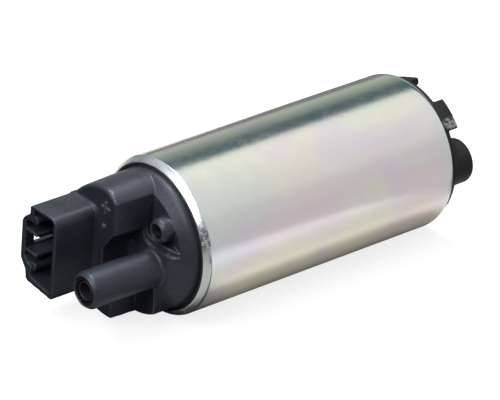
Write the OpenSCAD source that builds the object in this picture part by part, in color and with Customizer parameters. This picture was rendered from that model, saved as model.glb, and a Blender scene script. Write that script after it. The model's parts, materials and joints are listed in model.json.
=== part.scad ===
// In-tank electric fuel pump: a turbine pump and a permanent-magnet motor in
// one rolled steel shell, with a moulded outlet cover at +X and a cast inlet
// cover at -X.  Millimetres.  The pump's axis is X, and the origin is on it,
// half way along the shell.

/* [Shell] */
// Outside diameter of the steel shell
shell_d = 38; // [37.8:0.1:38.6]
// Length of the shell over its two rolled lips
shell_len = 75; // [75:0.5:80]
// Wall of the shell
shell_wall = 1.2; // [1.15:0.05:1.25]

/* [Outlet cover] */
// Radius of the cover where it stands out of the shell
cover_r = 16.6; // [16.2:0.1:16.7]
// Height of the cover's face above the shell's lip
cover_h = 5.5; // [5.3:0.1:5.8]
// Height of the connector tower above the shell's lip
tower_h = 13.8; // [13:0.1:14.5]
// Distance from the pump's axis to the tower's flat side
tower_side_y = 2.75; // [2.6:0.05:2.9]

/* [Outlet nipple and its check valve] */
// Diameter of the hose nipple
nipple_d = 8.9; // [8.7:0.1:9.1]
// Bore at the nipple's mouth
nipple_bore_d = 6.8; // [6.6:0.1:6.9]
// Height of the nipple's mouth above the shell's lip
nipple_h = 24.8; // [24:0.1:26]
// How far the check valve lifts off its seat
check_lift = 2; // [1:0.1:2]

/* [Relief valve] */
// Diameter of the relief valve's nub
nub_d = 5.8; // [5.6:0.1:6.2]
// How far the relief ball lifts off its seat
relief_lift = 0.8; // [0.4:0.1:0.8]

/* [Electrical connector] */
// Width of the connector shroud
shroud_w = 9.7; // [9.5:0.1:9.8]
// Height of the connector shroud
shroud_t = 20.6; // [20.2:0.1:21]
// Reach of the shroud's mouth above the shell's lip
shroud_h = 25.5; // [25:0.1:27]
// Wall of the shroud
shroud_wall = 0.9; // [0.85:0.05:1]
// Width of a terminal blade
blade_w = 2.8; // [2.3:0.1:3]
// Thickness of a terminal blade
blade_t = 0.8; // [0.6:0.1:0.9]

/* [Inlet cover] */
// Diameter of the inlet boss
inlet_d = 11; // [10.6:0.1:11.2]
// Bore of the inlet boss
inlet_bore_d = 7.4; // [7:0.1:7.8]
// Reach of the inlet boss beyond the shell's inlet lip
inlet_reach = 7.7; // [7:0.1:9]

/* [Motor and turbine] */
// Diameter of the rotor shaft
shaft_d = 4; // [3.9:0.05:4]
// Diameter of the armature
armature_d = 28.2; // [27.6:0.1:28.3]
// Diameter of the impeller
impeller_d = 30; // [29.6:0.1:30]
// Number of vanes on the impeller
vanes = 41; // [31:2:45]
// How far a brush can be pushed back into its guide
brush_travel = 2; // [1:0.1:2]

/* [Hidden] */

$fn = 96;
R = shell_d / 2;            // outside radius of the shell
Ri = R - shell_wall;        // inside radius of the shell
xo = shell_len / 2;         // outlet lip
xi = -shell_len / 2;        // inlet lip
lip_r = R - 1.45;           // rim of the outlet lip
lip_bore = R - 1.6;         // bore of the outlet lip
face_x = xo + cover_h;      // cover's face
cover_cone = 11.3;          // edge of the cover's flat face
tower_x = xo + tower_h;     // tower's face
mouth_x = xo + shroud_h;    // connector's mouth
tip_x = xo + nipple_h;      // nipple's mouth
nip = [6.2, -3.0];          // nipple's centre, across the pump
nub = [8.0, 7.5];           // relief valve's centre
nip_r = nipple_d / 2;
nip_bore = nipple_bore_d / 2;
con_y = -8.6;              // connector's centre
con_z = -0.1;
blade_z = 4.6;              // a blade's distance from the connector's centre
blade_tip = mouth_x - 4.6;
choke_y = -6.0;             // choke's centre
choke_z = 8.6;
brush_rc = 7.5;             // middle of a brush, from the axis
brush_rad = 4.0;            // brush, radial
brush_tan = 5.0;            // brush, across
com_x = 18.0;               // commutator's face
inlet = [12.0, 0.9];        // inlet boss's centre
chan_r = 13.1;              // middle of the pump's flow channel
tower_cr = 6.5;             // rounded shoulder of the tower
tower_c = [-2.2, sqrt(pow(cover_r - tower_cr, 2) - 2.2 * 2.2)];  // and its centre
pump_x = xi + 5.0;          // inside face of the inlet cover
imp_t = 3.7;                // thickness of the impeller
shaft_r = shaft_d / 2;

// ---- helpers -------------------------------------------------------------

// Stands a flat shape or a turned part on the plane across the pump at x: its
// own x and y become Y and Z, and its height runs along +X.
module yz(x = 0) { translate([x, 0, 0]) rotate([90, 0, 90]) children(); }

// Stands something at a point across the pump.
module at(p) { translate([0, p[0], p[1]]) children(); }

// A body of revolution about the pump's axis from a list of [radius, x].
module turned(prof) { yz(0) rotate_extrude() polygon(prof); }

// One corner of a polygon, rounded.
function corner(a, p, b, r, n) = r <= 0 ? [p] :
  let (u = (a - p) / norm(a - p), v = (b - p) / norm(b - p),
       h = acos(u * v) / 2, c = p + (u + v) / norm(u + v) * (r / sin(h)),
       s = p + u * (r / tan(h)) - c, e = p + v * (r / tan(h)) - c,
       a0 = atan2(s[1], s[0]), d0 = atan2(e[1], e[0]) - a0,
       d = d0 > 180 ? d0 - 360 : (d0 < -180 ? d0 + 360 : d0))
  [for (k = [0 : n]) c + r * [cos(a0 + d * k / n), sin(a0 + d * k / n)]];

// A polygon from corners [y, z, radius].
function rounded(q, n = 6) = [for (i = [0 : len(q) - 1])
  let (m = len(q), a = q[(i + m - 1) % m], p = q[i], b = q[(i + 1) % m])
  each corner([a[0], a[1]], [p[0], p[1]], [b[0], b[1]], p[2], n)];

// Points on a circle about the axis.
function arc(r, a0, a1, n) =
  [for (k = [0 : n]) r * [cos(a0 + (a1 - a0) * k / n), sin(a0 + (a1 - a0) * k / n)]];

// A closed tube swept along points with a side vector at each.
module swept(path, side, up, r, sides = 8) {
  n = len(path);
  pts = [for (i = [0 : n - 1]) for (k = [0 : sides - 1])
    path[i] + r * (cos(360 * k / sides) * side[i] + sin(360 * k / sides) * up[i])];
  faces = concat(
    [for (i = [0 : n - 2]) for (k = [0 : sides - 1])
      [i * sides + k, (i + 1) * sides + k,
       (i + 1) * sides + (k + 1) % sides, i * sides + (k + 1) % sides]],
    [[for (k = [0 : sides - 1]) k]],
    [[for (k = [0 : sides - 1]) (n - 1) * sides + sides - 1 - k]]);
  polyhedron(points = pts, faces = faces);
}

// A compression spring along X: its end turns lie closed.
module coil(x0, x1, r, wire, turns, step = 20, sides = 6) {
  n = turns * 360 / step;
  pitch = (x1 - x0 - 2 * wire) / (turns - 1);
  function along(t) = t < 0.75 ? 0.04 * t * pitch : (t > turns - 0.75 ? turns - 1 - 0.04 * (turns - t) : t - 0.75 + 0.03 + (t - 0.75) / (turns - 1.5) * (0.44));
  tt = [for (i = [0 : n]) i * step / 360];
  lo = along(0); hi = along(turns);
  path = [for (t = tt)
    [x0 + wire + (along(t) - lo) / (hi - lo) * (x1 - x0 - 2 * wire), r * cos(360 * t), r * sin(360 * t)]];
  side = [for (t = tt) [0, cos(360 * t), sin(360 * t)]];
  slope = (x1 - x0) / turns / (2 * PI * r);
  up = [for (t = tt) let (g = [slope, -sin(360 * t), cos(360 * t)] / sqrt(1 + slope * slope),
                          s = [0, cos(360 * t), sin(360 * t)]) cross(g, s)];
  swept(path, side, up, wire, sides);
}

// ---- shell ---------------------------------------------------------------

module housing_shell() {
  color([0.80, 0.79, 0.76])
  turned([
    [Ri, xi + 1.4], [Ri - 0.85, xi + 0.65], [Ri - 0.85, xi + 0.1], [Ri - 0.75, xi],
    [R - 0.82, xi], [R - 0.52, xi + 0.13], [R - 0.27, xi + 0.42], [R - 0.09, xi + 0.95], [R, xi + 1.7],
    [R, xo - 1.4], [R - 0.12, xo - 1.18], [lip_r + 0.08, xo - 0.06], [lip_r, xo],
    [lip_bore, xo - 0.18], [lip_bore, xo - 1.35], [Ri, xo - 1.85]]);
}

// ---- outlet cover --------------------------------------------------------

// The tower's plan away from its rounded shoulder, set back to clear the nipple.
function tower_plan() = concat(
  [[0, 5], tower_c * 2, [-20, 20], [-20, -20], [2.4, -20]],
  corner([2.4, -16], [2.4, -12.6], [-1.3, -8.4], 1.0, 4),
  corner([2.4, -12.6], [-1.3, -8.4], [-1.25, 0.9], 1.2, 4),
  corner([-1.3, -8.4], [-1.25, 0.9], [0.4, 3.2], 1.2, 4),
  [[0.4, 3.2]]);

// The tower leans in a little towards its face, and its edges there are round.
module tower() {
  e = 1.0;        // edge rounding
  lean = 0.3;
  h = tower_x - e;
  intersection() {
    union() {
      // outer wall, one with the cover's
      intersection() {
        turned(concat([[0, xo], [cover_r, xo], [cover_r, xo + 5], [cover_r - lean, h]],
          [for (k = [1 : 4]) [cover_r - lean - e + e * cos(22.5 * k), h + e * sin(22.5 * k)]], [[0, tower_x]]));
        yz(xo) linear_extrude(tower_h) polygon(tower_plan());
      }
      // rounded shoulder
      at(tower_c) turned(concat([[0, xo], [tower_cr, xo], [tower_cr, xo + 5], [tower_cr - lean, h]],
        [for (k = [1 : 4]) [tower_cr - lean - e + e * cos(22.5 * k), h + e * sin(22.5 * k)]], [[0, tower_x]]));
      // wall below it
      yz(xo) linear_extrude(tower_h) polygon(concat([[-4, 0.6], [-1.4, 0.6]],
        corner([-1.25, 0.9], [tower_side_y - 0.25, 6.4], [tower_side_y + 0.5, 12], 1.2, 4), [[tower_side_y + 0.5, 12], [-4, 12]]));
    }
    // flat side that faces the nipple
    translate([0, 0, -20]) linear_extrude(40) polygon(concat(
      [[xo, -20], [xo, tower_side_y + 0.01], [xo + 5, tower_side_y], [h, tower_side_y - lean]],
      [for (k = [1 : 4]) [h + e * sin(22.5 * k), tower_side_y - lean - e + e * cos(22.5 * k)]], [[tower_x, -20]]));
  }
}

// The flat around the relief valve, sunk in the cover's cone.
function pocket_plan() = rounded([[2.75, 16, 0], [16, 16, 0], [17, 5.4, 0],
  [13.95, 2.75, 0.2], [12.6, 2.15, 0.7], [11.7, 2.2, 0.6], [10.7, 2.75, 1.0], [8.9, 2.5, 1], [7.1, 2.05, 1],
  [5.2, 2.2, 0.8], [3.4, 2.7, 0.7], [2.75, 4.3, 0.6]], 4);
function pocket_floor() = rounded([[2.85, 15.5, 0], [15.5, 15.5, 0], [16.5, 5.4, 0],
  [13.95, 3.0, 0.2], [12.7, 3.3, 0.8], [10.7, 4.0, 1.2], [8.9, 3.9, 1], [7.1, 3.5, 1],
  [5.2, 3.5, 0.8], [3.4, 4.0, 0.7], [2.85, 5.6, 0.6]], 4);

// The connector's outline, with the key bulge towards -Y.
function shroud_plan(g) = let (
    y1 = con_y + shroud_w / 2 + g, y0 = con_y - shroud_w / 2 - g,
    z1 = con_z + shroud_t / 2 + g, z0 = con_z - shroud_t / 2 - g, k = 2.6)
  rounded([[y1, z1 + 0.3, 2.0 + g], [y0, z1 - 0.35, 0.9 + g],
           [y0, 7.55 + g, 0.3], [y0 - 1.85, 6.0 + g, 0.4], [y0 - k, 4.9 + g, 0.5],
           [y0 - k, -5.1 - g, 0.5], [y0 - 0.75, -7.5 - g, 0.5], [y0 - 0.5, -9.6, 0.5],
           [y0 + 0.35, z0 + 0.3, 0.5], [y1, z0 - 0.2, 1.0 + g]], 5);

module shroud_cavity() {
  w = shroud_wall;
  y1 = con_y + shroud_w / 2 - w; y0 = con_y - shroud_w / 2 + w;
  z1 = con_z + shroud_t / 2 - w; z0 = con_z - shroud_t / 2 + w;
  // main cavity
  yz(tower_x + 1.2) linear_extrude(30) polygon(rounded(
    [[y1, z1 + 0.35, 1.2], [y0 + 0.5, z1 - 0.15, 0.4], [y0 + 0.35, z0 + 0.95, 0.4], [y1, z0 + 0.25, 0.5]], 4));
  // bulge
  yz(tower_x + 1.2) linear_extrude(30) polygon(rounded(
    [[y0 + 1.6, 5.9, 0], [y0 - 1.45, 5.8, 0.4], [y0 - 2.2, 4.6, 0.4],
     [y0 - 2.2, -4.0, 0.4], [y0 - 0.45, -5.7, 0.4], [y0 + 1.6, -5.9, 0]], 3));
  // window in the bulge, where the plug latches
  translate([mouth_x - 8.2, y0 - 6, -1.75]) cube([5.5, 4.6, 3.4]);
}

// The cover's solid, before anything is cut from it.
module cover_body() {
  // flange under the shell's lip, groove, side wall, and the slope up to the flat face
  turned([[0, xo - 1.0], [0, face_x], [cover_cone - 0.5, face_x], [cover_cone + 0.05, face_x - 0.15],
          [cover_cone + 0.5, face_x - 0.42], [cover_r - 0.85, xo + 1.95], [cover_r - 0.45, xo + 1.62],
          [cover_r - 0.15, xo + 1.25], [cover_r - 0.02, xo + 0.85],
          [cover_r + 0.02, xo - 0.55], [cover_r + 0.3, xo - 0.55],
          [lip_bore - 0.15, xo - 0.05], [lip_bore - 0.04, xo - 0.15], [lip_bore - 0.04, xo - 1.38],
          [Ri - 0.04, xo - 1.9], [Ri - 0.04, xo - 10.5], [Ri - 0.5, xo - 11],
          [16.0, xo - 11], [16.0, xo - 1.0]]);
  tower();
  // pad beside the tower's foot
  intersection() {
    turned([[0, xo], [0, face_x + 0.8], [cover_r - 0.4, face_x + 0.8], [cover_r - 0.1, face_x + 0.68],
            [cover_r, face_x + 0.4], [cover_r + 0.01, xo]]);
    yz(xo) linear_extrude(cover_h + 1)
      polygon(rounded([[-2, -5, 0], [8.6, -7.2, 1], [9.0, -11, 1], [8.8, -20, 0], [-2, -20, 0]], 4));
  }
  // rib beside the relief valve
  intersection() {
    turned([[0, xo], [0, face_x], [13.2, face_x], [13.6, face_x - 0.12], [13.9, face_x - 0.6], [13.9, xo]]);
    yz(xo) linear_extrude(cover_h) polygon([[-2, 8], [2.75, 8], [2.75, 14], [-2, 14]]);
  }
  // fillet at the foot of the tower's set back wall
  translate([0, 0, -6.5]) linear_extrude(7.2) polygon([[face_x - 0.2, -1.6], [face_x + 1.5, -1.6],
    [face_x + 1.5, -1.3], [face_x + 0.75, -1.02], [face_x + 0.3, -0.6], [face_x, 0.2], [face_x - 0.2, 0.2]]);
  // step at the connector's root, and the connector
  yz(tower_x - 1) linear_extrude(1.6) polygon(shroud_plan(0.25));
  yz(tower_x - 1) linear_extrude(mouth_x - tower_x + 1) polygon(shroud_plan(0));
  // hose nipple with its foot
  at(nip) turned([[0, face_x - 4], [0, tip_x], [nip_r - 0.92, tip_x], [nip_r - 0.78, tip_x - 0.08],
          [nip_r - 0.12, tip_x - 0.98], [nip_r, tip_x - 1.28], [nip_r, face_x + 0.8],
          [nip_r + 0.12, face_x + 0.4], [nip_r + 0.35, face_x + 0.12], [nip_r + 0.7, face_x],
          [nip_r + 0.7, face_x - 4]]);
  // raised dot and cross that mark the positive side
  at([-1.3, 6.7]) turned([[0, tower_x - 0.1], [0, tower_x + 0.5], [0.5, tower_x + 0.42], [0.9, tower_x], [0.9, tower_x - 0.1]]);
  at([-0.9, 11.65]) yz(tower_x - 0.1) linear_extrude(0.5) union() {
    square([3.1, 0.6], center = true); square([0.6, 3.1], center = true); }
}

// Flat around the relief valve, with a ledge along its lower edge.
module pocket() {
  intersection() {
    yz(face_x - 2.5) linear_extrude(7) polygon(pocket_floor());
    turned([[0, xo + 0.7], [0, face_x + 5], [cover_cone + 2.42, face_x + 5], [cover_cone + 2.42, xo + 0.7]]);
  }
  intersection() {
    yz(face_x - 3.5) linear_extrude(8) polygon(pocket_plan());
    turned([[0, face_x - 0.7], [cover_cone, face_x - 0.7], [cover_cone + 0.5, face_x - 1.05],
            [cover_cone + 2.5, face_x - 2.55], [cover_cone + 2.5, face_x + 4], [0, face_x + 4]]);
  }
}

module outlet_cover() {
  color([0.13, 0.135, 0.15])
  difference() {
    union() {
      difference() {
        cover_body();
        pocket();
      }
      // relief valve's nub, inside and out
      at(nub) turned([[0, xo - 4.0], [0, face_x + 0.85], [2.1, face_x + 0.85],
              [2.22, face_x + 0.8], [nub_d / 2 - 0.16, face_x + 0.22], [nub_d / 2 - 0.04, face_x + 0.02],
              [nub_d / 2, face_x - 0.3], [nub_d / 2, xo - 4.0]]);
    }
    // room inside the cover for the chokes and the leads
    difference() {
      turned([[0, xo - 12], [15.99, xo - 12], [15.99, xo - 1], [14, xo + 0.5], [0, xo + 0.5]]);
      at(nub) yz(xo - 5) cylinder(h = 8, r = nub_d / 2);
    }
    for (s = [-1, 1]) at([choke_y, s * choke_z]) yz(xo - 2) cylinder(h = 11.2, r = 3.45);
    // connector's cavity
    difference() {
      shroud_cavity();
      // shelves across the key, the upper one with a lip, and rolled ends of
      // the walls beside the key
      translate([tower_x, con_y - shroud_w / 2 - 1.8, 2.3]) cube([mouth_x - tower_x - 0.35, 4.25, 0.85]);
      translate([tower_x, con_y - shroud_w / 2 + 1.9, 1.85]) cube([mouth_x - tower_x - 1.3, 0.55, 0.8]);
      translate([tower_x, con_y - shroud_w / 2 - 1.8, -3.1]) cube([mouth_x - tower_x - 0.35, 4.35, 0.85]);
      for (z = [6.4, -5.7]) {
        at([-11.8, z]) yz(tower_x) cylinder(h = mouth_x - tower_x - 0.3, r = 1.0, $fn = 48);
        yz(tower_x) linear_extrude(mouth_x - tower_x - 0.3) polygon([[-13.2, z - 0.75], [-11.8, z - 1.0], [-11.8, z + 1.0], [-13.2, z + 0.75]]);
      }
    }
    // slots that hold the blades
    for (s = [-1, 1]) translate([xo - 2, con_y - blade_w / 2, con_z + s * blade_z - blade_t / 2])
      cube([tower_h + 4, blade_w, blade_t]);
    // outlet way: seat, valve chamber, mouth
    at(nip) turned([[0, xo - 2], [0, tip_x + 1], [nip_bore + 0.35, tip_x + 1], [nip_bore + 0.35, tip_x - 0.01],
              [nip_bore, tip_x - 0.4], [nip_bore, xo + 12.8], [2.2, xo + 11.4], [2.2, xo - 2]]);
    // relief way: bore, seat, ball chamber, mouth
    at(nub) turned([[0, xo - 5], [0, face_x + 2], [1.85, face_x + 2], [1.85, xo + 0.8], [1.0, xo - 0.1], [1.0, xo - 5]]);
  }
}

module terminal_blade(s) {
  z = con_z + s * blade_z;
  color([0.78, 0.72, 0.52])
  difference() {
    union() {
      translate([xo - 2.2, con_y - blade_w / 2 + 0.03, z - blade_t / 2 + 0.03])
        cube([blade_tip - xo + 1.6, blade_w - 0.06, blade_t - 0.06]);
      // bevelled tip
      translate([blade_tip - 0.62, con_y, z]) rotate([90, 0, 0])
        linear_extrude(blade_w - 0.7, center = true)
        polygon([[0, -blade_t / 2 + 0.03], [0.62, -0.15], [0.62, 0.15], [0, blade_t / 2 - 0.03]]);
      // foot that takes the choke's wire
      translate([xo - 3.0, con_y - blade_w / 2 + 0.03, z - blade_t / 2 + 0.03 - (s > 0 ? 0 : 1.4)])
        cube([0.8, blade_w - 0.06, blade_t - 0.06 + 1.4]);
    }
    // latch hole
    translate([blade_tip - 3.2, con_y, z - 1]) cylinder(h = 2, r = 0.5, $fn = 24);
  }
}
module terminal_positive() { terminal_blade(1); }
module terminal_negative() { terminal_blade(-1); }

// ---- suppression chokes --------------------------------------------------

module choke_cores() {
  color([0.22, 0.21, 0.21])
  for (s = [-1, 1]) at([choke_y, s * choke_z]) turned([[0, xo - 4.6], [0, xo + 7.4], [1.7, xo + 7.4],
    [1.9, xo + 7.2], [1.9, xo - 4.4], [1.7, xo - 4.6]]);
}
module choke_wire(s) {
  color([0.72, 0.42, 0.22])
  at([choke_y, s * choke_z]) coil(xo - 2.6, xo + 6.6, 2.45, 0.42, 9);
}
module choke_coil_positive() { choke_wire(1); }
module choke_coil_negative() { choke_wire(-1); }

// ---- brush gear ----------------------------------------------------------

module brush_holder() {
  color([0.30, 0.27, 0.22])
  difference() {
    union() {
      // plate
      turned([[0, 28.2], [0, 32.2], [15.6, 32.2], [15.9, 31.9], [15.9, 28.2]]);
      // bearing boss
      turned([[0, 20.6], [0, 29], [5.0, 29], [5.0, 21.0], [4.6, 20.6]]);
      // brush guides
      for (s = [-1, 1]) translate([19.4, -brush_tan / 2 - 1.1, s * brush_rc - brush_rad / 2 - 1.0])
        cube([10, brush_tan + 2.2, brush_rad + 2.0]);
      // posts for the choke cores
      for (s = [-1, 1]) at([choke_y, s * choke_z]) yz(32.1) cylinder(h = 0.75, r = 2.6);
    }
    // bearing seat and shaft well
    turned([[0, 19], [0, 30.6], [2.6, 30.6], [2.6, 28.6], [4.02, 28.6], [4.02, 22.0], [3.2, 22.0], [3.2, 19]]);
    // brush ways
    for (s = [-1, 1]) translate([18, -brush_tan / 2 - 0.06, s * brush_rc - brush_rad / 2 - 0.06])
      cube([13.2, brush_tan + 0.12, brush_rad + 0.12]);
    // slot beside each way for the brush's lead
    for (s = [-1, 1]) translate([22.5, -brush_tan / 2 - 2.2, s * brush_rc - 0.75])
      cube([12, 2.3, 1.5]);
    // fuel ways
    for (a = [20, 160, 200, 340]) rotate([a, 0, 0]) at([11.2, 0]) yz(27) cylinder(h = 7, r = 2.2);
  }
}

module brush(s) {
  color([0.16, 0.16, 0.17])
  difference() {
    translate([com_x + 0.04, -brush_tan / 2, s * brush_rc - brush_rad / 2]) cube([8.6, brush_tan, brush_rad]);
    // well for the lead
    translate([com_x + 4.6, -brush_tan / 2 - 0.1, s * brush_rc - 0.6]) cube([5, 1.4, 1.2]);
  }
}
module brush_positive() { brush(1); }
module brush_negative() { brush(-1); }

module brush_spring(s) {
  color([0.70, 0.71, 0.72]) at([0.45, s * brush_rc]) coil(com_x + 8.66, 31.15, 1.35, 0.2, 6, 24);
}
module brush_spring_positive() { brush_spring(1); }
module brush_spring_negative() { brush_spring(-1); }

// A stranded lead from the brush's well, out beside the guide and up to the
// cover, on a smooth curve through a few chosen points.
function mix(p, t) = let (n = len(p) - 1, u = t * n, i = min(floor(u), n - 1), f = u - i,
    a = p[max(i - 1, 0)], b = p[i], c = p[i + 1], d = p[min(i + 2, n)])
  0.5 * (2 * b + (c - a) * f + (2 * a - 5 * b + 4 * c - d) * f * f + (3 * b - a - 3 * c + d) * f * f * f);

module brush_lead(s) {
  way = [[com_x + 5.2, -1.9, s * brush_rc], [com_x + 6.2, -2.3, s * brush_rc], [com_x + 8, -3.3, s * brush_rc],
         [com_x + 11, -3.55, s * brush_rc], [com_x + 14, -3.5, s * brush_rc],
         [xo - 4.2, -4.2, s * (brush_rc - 0.6)], [xo - 3.4, -5.8, s * (brush_rc - 1.7)], [xo - 2.9, -6.9, s * (brush_rc - 1.9)]];
  n = 28;
  path = [for (i = [0 : n]) mix(way, i / n)];
  tang = [for (i = [0 : n]) let (q = path[min(i + 1, n)] - path[max(i - 1, 0)]) q / norm(q)];
  side = [for (t = tang) let (q = cross(t, [0, 0, 1])) q / norm(q)];
  up = [for (i = [0 : n]) cross(tang[i], side[i])];
  color([0.75, 0.45, 0.25]) swept(path, side, up, 0.45, 8);
}
module brush_lead_positive() { brush_lead(1); }
module brush_lead_negative() { brush_lead(-1); }

// ---- bearings ------------------------------------------------------------

module bush(x0, x1, ro) {
  turned([[shaft_r + 0.03, x0 + 0.3], [shaft_r + 0.33, x0], [ro - 0.3, x0], [ro, x0 + 0.3],
          [ro, x1 - 0.3], [ro - 0.3, x1], [shaft_r + 0.33, x1], [shaft_r + 0.03, x1 - 0.3]]);
}
module upper_bearing() { color([0.60, 0.48, 0.30]) bush(22.05, 28.55, 4.0); }
module lower_bearing() { color([0.60, 0.48, 0.30]) bush(-26.3, -20.6, 4.0); }

// ---- rotor ---------------------------------------------------------------

module rotor_shaft() {
  x0 = pump_x - 0.75; x1 = 29.6;
  color([0.75, 0.76, 0.78])
  difference() {
    turned([[0, x0], [shaft_r - 0.6, x0 + 0.06], [shaft_r - 0.2, x0 + 0.3], [shaft_r, x0 + 0.6],
            [shaft_r, x1 - 0.4], [shaft_r - 0.4, x1], [0, x1]]);
    // flat that drives the impeller
    translate([x0 - 1, -3, shaft_r - 0.5]) cube([pump_x - x0 + 1 + imp_t + 0.3, 6, 3]);
  }
}

module armature_core() {
  ra = armature_d / 2;
  color([0.45, 0.46, 0.48])
  difference() {
    turned([[shaft_r + 0.005, -17], [ra, -17], [ra, 9], [shaft_r + 0.005, 9]]);
    for (k = [0 : 7]) rotate([k * 45, 0, 0]) yz(-18) linear_extrude(28)
      polygon(rounded([[ra + 1, 0.75, 0], [ra - 0.9, 0.75, 0], [ra - 1.9, 4.0, 0.6], [6.2, 1.0, 0.7],
                       [6.2, -1.0, 0.7], [ra - 1.9, -4.0, 0.6], [ra - 0.9, -0.75, 0], [ra + 1, -0.75, 0]], 4));
  }
}

module armature_windings() {
  ra = armature_d / 2;
  color([0.70, 0.33, 0.14])
  union() {
    for (k = [0 : 7]) rotate([k * 45, 0, 0]) yz(-18) linear_extrude(28)
      polygon(rounded([[ra - 2.15, 3.55, 0.6], [6.6, 0.75, 0.5], [6.6, -0.75, 0.5], [ra - 2.15, -3.55, 0.6]], 4));
    turned([[3.4, -17.05], [12.3, -17.05], [12.9, -17.9], [12.4, -19.4], [10.6, -20.5], [8.0, -20.9], [7.0, -20.5], [6.4, -19.6], [5.2, -19.2], [3.4, -19.0]]);
    turned([[3.4, 9.05], [12.3, 9.05], [12.9, 9.9], [12.4, 11.2], [10.6, 12.3], [6.5, 12.9], [4.2, 12.6], [3.4, 12.0]]);
  }
}

module commutator_base() {
  color([0.20, 0.14, 0.10])
  turned([[shaft_r + 0.005, 13.1], [4.8, 13.1], [5.4, 13.6], [10.2, 13.9], [10.4, 14.2], [10.4, 15.6],
          [4.0, 15.6], [4.0, 17.6], [shaft_r + 0.005, 17.6]]);
}
module commutator_bars() {
  color([0.72, 0.42, 0.22])
  for (k = [0 : 7]) rotate([k * 45 + 22.5, 0, 0]) {
    yz(15.61) linear_extrude(0.7) polygon(concat(arc(4.15, -20, 20, 4), arc(10.3, 21, -21, 8)));
    // hook that holds the winding's wire
    translate([14.3, -0.7, 10.45]) cube([2.0, 1.4, 0.55]);
    translate([15.61, -0.7, 10.0]) cube([0.7, 1.4, 0.6]);
  }
}
module commutator_carbons() {
  color([0.14, 0.14, 0.15])
  for (k = [0 : 7]) rotate([k * 45 + 22.5, 0, 0]) rotate([90, 0, 0]) {
    // the segments lie flat on the bars
    rotate([-90, 0, 0]) yz(16.33) linear_extrude(com_x - 16.33)
      polygon(concat(arc(4.15, -20, 20, 4), arc(10.0, 21, -21, 8)));
  }
}

// ---- field magnets -------------------------------------------------------

module magnet(s) {
  m = 66;
  color([0.25, 0.25, 0.26])
  difference() {
    intersection() {
      turned([[14.6, -20], [Ri - 0.04, -20], [Ri - 0.04, 12], [14.6, 12]]);
      yz(-21) linear_extrude(34) polygon(concat([[0, 0]], arc(24, s * 90 - m, s * 90 + m, 8)));
    }
    // chamfered inner edges
    for (t = [-1, 1]) rotate([s * 90 + t * m, 0, 0]) at([14.6, 0]) rotate([45, 0, 0])
      translate([-21, -0.5, -0.5]) cube([34, 1, 1]);
  }
}
module magnet_upper() { magnet(1); }
module magnet_lower() { magnet(-1); }

// Sprung U that pushes the magnets apart, on the +Y side.
module magnet_spring() {
  color([0.62, 0.64, 0.66])
  for (i = [0]) {
    intersection() {
      turned([[16.9, -19.5], [17.6, -19.5], [17.6, 11.5], [16.9, 11.5]]);
      union() {
        translate([-19.5, 0, -6.6]) cube([2.2, 20, 13.2]);
        for (t = [-1, 1]) translate([-19.5, 0, t * 6.0 - 0.6]) cube([31, 20, 1.2]);
      }
    }
  }
}
// Moulded stop between the magnets on the -Y side.
module magnet_stop() {
  color([0.85, 0.84, 0.78])
  intersection() {
    turned([[14.9, -19.8], [17.6, -19.8], [17.6, 11.8], [14.9, 11.8]]);
    translate([-20, -20, -5.9]) cube([32, 10, 11.8]);
  }
}

// ---- turbine pump --------------------------------------------------------

module pump_casing() {
  x1 = pump_x + 8.6;
  color([0.34, 0.35, 0.37])
  difference() {
    turned([[0, pump_x + 0.02], [Ri - 0.04, pump_x + 0.02], [Ri - 0.04, x1 - 0.6], [Ri - 0.6, x1], [7.4, x1], [6.6, x1 + 0.8],
            [6.0, x1 + 3.4], [5.6, x1 + 3.8], [0, x1 + 3.8]]);
    // impeller's room
    yz(pump_x - 1) cylinder(h = 1 + imp_t + 0.1, r = impeller_d / 2 + 0.1);
    // flow channel over the vanes
    yz(pump_x + imp_t + 0.1) rotate([0, 0, 24]) rotate_extrude(angle = 305)
      translate([chan_r, 0]) intersection() { circle(r = 1.75, $fn = 48); translate([-3, -3]) square([6, 6]); }
    // discharge port
    rotate([24 + 300, 0, 0]) at([chan_r, 0]) yz(pump_x + 3) cylinder(h = 8, r = 1.7);
    // bearing seat and shaft way
    turned([[0, pump_x], [0, x1 + 5], [4.02, x1 + 5], [4.02, x1 - 2.42], [2.6, x1 - 2.42], [2.6, pump_x]]);
  }
}

module impeller() {
  ri = impeller_d / 2;
  x0 = pump_x + 0.07; x1 = x0 + imp_t - 0.04;
  color([0.28, 0.20, 0.14])
  difference() {
    turned([[0, x0], [ri, x0], [ri, x1], [0, x1]]);
    // D bore
    difference() {
      yz(x0 - 1) cylinder(h = imp_t + 2, r = shaft_r + 0.04);
      translate([x0 - 2, -3, shaft_r - 0.44]) cube([imp_t + 4, 6, 3]);
    }
    // pressure balance holes
    for (k = [0 : 4]) rotate([k * 72 + 36, 0, 0]) at([6.2, 0]) yz(x0 - 1) cylinder(h = imp_t + 2, r = 1.1);
    // spaces between the vanes
    for (k = [0 : vanes - 1]) rotate([k * 360 / vanes, 0, 0]) yz(x0 - 1) linear_extrude(imp_t + 2)
      polygon([[11.6, -0.55], [14.3, -0.75], [14.3, 0.75], [11.6, 0.55]]);
  }
}

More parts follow.
